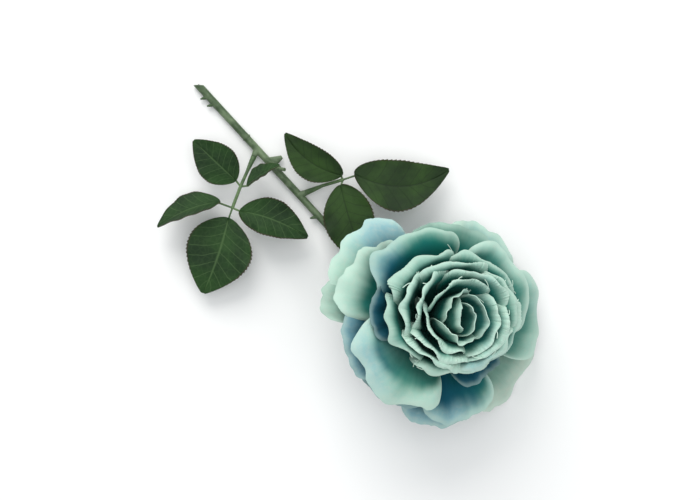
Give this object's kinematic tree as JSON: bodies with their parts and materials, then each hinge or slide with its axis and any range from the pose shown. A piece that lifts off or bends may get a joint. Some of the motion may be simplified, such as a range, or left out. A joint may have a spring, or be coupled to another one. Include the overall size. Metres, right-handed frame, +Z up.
{
  "type": "artificial rose stem",
  "caption": "Artificial rose laid on its side: a wired green stem with thorns and two leaf sprays on pegs, and an open flower of layered fabric petals looking up.",
  "frame": {"origin": "centre of the footprint, on the surface it lies on", "axes": "+X from the cut stem end's side towards the flower, +Y across towards the cut stem end, +Z up, the way the open flower looks"},
  "size_m": [0.1946, 0.1738, 0.0741],
  "materials": {
    "stem_plastic": "moulded green plastic, slightly waxy",
    "spray_plastic": "moulded green plastic",
    "calyx_plastic": "moulded green plastic",
    "post_plastic": "moulded pale plastic, hidden in the flower",
    "steel_wire": "cut steel wire",
    "leaf_fabric": "pressed polyester leaf cloth with printed veins",
    "outer_petal_fabric": "stiffened satin petal cloth, pale mint shaded to teal",
    "middle_petal_fabric": "stiffened satin petal cloth, mint shaded to grey green",
    "inner_petal_fabric": "stiffened satin petal cloth, pale mint"
  },
  "bodies": {
    "stem": {"stem": "stem_plastic", "stem_wire": "steel_wire"},
    "lower_spray": {"lower_spray_frame": "spray_plastic", "lower_leaf_left_near_stem": "leaf_fabric", "lower_leaf_right_near_stem": "leaf_fabric", "lower_leaf_left_mid": "leaf_fabric", "lower_leaf_right_mid": "leaf_fabric", "lower_leaf_end": "leaf_fabric"},
    "upper_spray": {"upper_spray_frame": "spray_plastic", "upper_leaf_left": "leaf_fabric", "upper_leaf_end": "leaf_fabric", "upper_leaf_right": "leaf_fabric"},
    "calyx": {"calyx": "calyx_plastic"},
    "flower": {"flower_post": "post_plastic", "bud_core": "post_plastic", "outer_petals_lowest": "outer_petal_fabric", "outer_petals_second": "outer_petal_fabric", "outer_petals_third": "outer_petal_fabric", "middle_petals_lower": "middle_petal_fabric", "middle_petals_upper": "middle_petal_fabric", "inner_petals_lower": "inner_petal_fabric", "inner_petals_upper": "inner_petal_fabric", "bud_petals_outer": "inner_petal_fabric", "bud_petals_inner": "inner_petal_fabric", "petal_spacer_1": "post_plastic", "petal_spacer_2": "post_plastic", "petal_spacer_3": "post_plastic", "petal_spacer_4": "post_plastic", "petal_spacer_5": "post_plastic", "petal_spacer_6": "post_plastic", "petal_spacer_7": "post_plastic", "petal_spacer_8": "post_plastic"}
  },
  "joints": [
    {"name": "lower_spray_turn", "type": "hinge", "parent": "stem", "child": "lower_spray", "pos_m": [-0.04664, 0.05309, 0.00254], "axis": [-0.3786, -0.8932, 0.2427], "range_deg": [-12, 12]},
    {"name": "upper_spray_turn", "type": "hinge", "parent": "stem", "child": "upper_spray", "pos_m": [-0.02466, 0.02916, 0.00286], "axis": [0.8914, 0.3643, 0.2698], "range_deg": [-10, 5]},
    {"name": "flower_twist", "type": "hinge", "parent": "stem", "child": "calyx", "pos_m": [0.04201, -0.03368, 0.0285], "axis": [0.2919, 0.0567, 0.9548], "range_deg": [-90, 90]},
    {"name": "flower_pull_off", "type": "slide", "parent": "calyx", "child": "flower", "axis": [0.2919, 0.0567, 0.9548], "range_m": [0, 0.025]}
  ]
}
